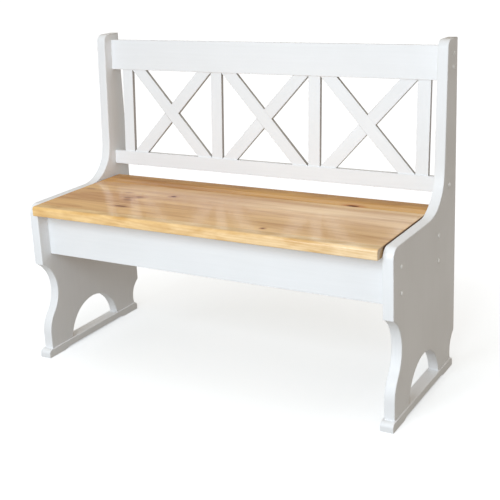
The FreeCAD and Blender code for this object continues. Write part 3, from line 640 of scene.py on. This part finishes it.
steel = steelFinish()
capPlastic = capFinish()
paintAlong = [paintFinish("satin_paint_along_" + axis, i) for i, axis in enumerate("xyz")]
slatPaint = paintFinish("satin_paint_on_slats", 2, True)
braceLow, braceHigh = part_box("brace_1_rising")
braceLean = math.atan2(braceHigh.x - braceLow.x, braceHigh.z - braceLow.z)
bracePaint = {
    "rising": paintFinish("satin_paint_on_rising_braces", 2, True, braceLean),
    "falling": paintFinish("satin_paint_on_falling_braces", 2, True, -braceLean),
}
bareAlong = [bareFinish("bare_pine_along_" + axis, i) for i, axis in enumerate("xyz")]
slots = {row["node"]: row["material_slot"] for row in frame["record"]["subparts"]}


def longWay(node):
    low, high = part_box(node)
    size = high - low
    return max(range(3), key=lambda axis: size[axis])


capModel = makeCap()
for node, slot in sorted(slots.items()):
    grainAxis = longWay(node)
    if slot == "white_paint":
        finish = paintAlong[grainAxis]
        if node.startswith("back_slat"):
            finish = slatPaint
        elif node.startswith("brace_"):
            finish = bracePaint[node.split("_")[-1]]
        dress(smoothBoard(node, node + "_painted"), finish)
    elif slot == "seat_wood":
        low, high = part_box(node)
        piece = smoothBoard(node, node + "_lacquered")
        dress(piece, seatFinish(node, boards[node], low, high))
    elif slot == "bare_wood":
        dress(frame["nodes"][node], bareAlong[grainAxis])
    elif slot == "cap_plastic":
        dress(joinCopies(capModel, capPlaces(node), node + "_moulded", node), capPlastic)
    elif node.endswith("_screws") and "frame" not in node:
        dress(screwsFor(node), steel)
    else:
        dress(frame["nodes"][node], steel)
bpy.data.objects.remove(capModel)
print("boards, caps and fittings")


# Floor, light and camera
studio = {
    "floorSize": 90,
    "floorColour": colour(0.36, 0.32, 0.27),
    "floorSeen": colour(0.72, 0.72, 0.72),      # as the camera and shiny things see it
    "glowNear": colour(0.42, 0.44, 0.45),
    "glowFar": colour(0.65, 0.68, 0.72),
    "nearReach": 0.4,
    "farReach": 1.3,
    "horizon": colour(0.165, 0.128, 0.080),
    "zenith": colour(0.82, 0.775, 0.71),
    "pale": colour(1, 1, 1),        # the backdrop past the floor, as it is seen
    "paleUpTo": 0.22,       # upward part of a ray's direction
    "paleFade": 0.08,
    "keyColour": (0.80, 0.90, 1.0),
    "keyPower": 56,
    "keyPlace": (0.1, -2.3, 1.36),
    "keyAim": (0, 0, 0.42),
    "keySize": (2.0, 1.4),
}
view = {
    "place": (1.36235, -2.24877, 1.18781),
    "aim": (0.0362, 0.0, 0.41952),
    "roll": math.radians(-2.716),
    "sensor": 36,
    "lens": 71.435,
    "shift": (0.0088, -0.05774),
}


def addFloor():
    deselect()
    bpy.ops.mesh.primitive_plane_add(size=studio["floorSize"], location=(0, 0, 0))
    floor = bpy.context.object
    floor.name = "floor"
    finish = Finish("studio_floor")
    plain = finish.node("BsdfDiffuse", inputs={"Color": studio["floorColour"]})
    seenPlain = finish.node("BsdfDiffuse", inputs={"Color": studio["floorSeen"]})
    x, y, z = finish.axes(finish.place())
    reach = studio["farReach"] - studio["nearReach"]
    away = ((x * x + y * y) ** 0.5 - studio["nearReach"]) / reach
    glow = finish.blend(finish.clamp(away), studio["glowNear"], studio["glowFar"])
    glow = finish.node("Emission", inputs={"Color": glow, "Strength": 1})
    bright = finish.node("AddShader", inputs={0: seenPlain, 1: glow})
    shader = finish.node("MixShader", inputs={0: finish.seenRays(), 1: plain, 2: bright})
    floor.data.materials.append(finish.finishWith(shader))


def addLight():
    world = Finish("studio", "worlds")
    rise = world.axes(world.node("TexCoord", output="Generated"))[2]
    sky = world.blend(rise, studio["horizon"], studio["zenith"])
    low = world.clamp((studio["paleUpTo"] - rise) / studio["paleFade"])
    sky = world.blend(world.seenRays() * low, sky, studio["pale"])
    bpy.context.scene.world = world.finishWith(world.node("Background", {}, {"Color": sky}),
                                               "OutputWorld")
    lamp = bpy.data.lights.new("softbox", "AREA")
    lamp.energy = studio["keyPower"]
    lamp.color = studio["keyColour"]
    lamp.shape = "RECTANGLE"
    lamp.size, lamp.size_y = studio["keySize"]
    key = bpy.data.objects.new("softbox", lamp)
    key.location = studio["keyPlace"]
    key.rotation_mode = "QUATERNION"
    away = Vector(studio["keyPlace"]) - Vector(studio["keyAim"])
    key.rotation_quaternion = away.to_track_quat("Z", "Y")
    bpy.context.scene.collection.objects.link(key)


def addCamera():
    camera = bpy.data.objects.new("camera", bpy.data.cameras.new("camera"))
    place = Vector(view["place"])
    towardsAim = (Vector(view["aim"]) - place).to_track_quat("-Z", "Y")
    camera.location = place
    camera.rotation_mode = "QUATERNION"
    camera.rotation_quaternion = towardsAim @ Quaternion((0, 0, 1), view["roll"])
    camera.data.sensor_width = view["sensor"]
    camera.data.lens = view["lens"]
    camera.data.shift_x, camera.data.shift_y = view["shift"]
    bpy.context.scene.collection.objects.link(camera)
    bpy.context.scene.camera = camera


addFloor()
addLight()
addCamera()
bpy.context.scene.view_settings.view_transform = "Standard"
print("studio")
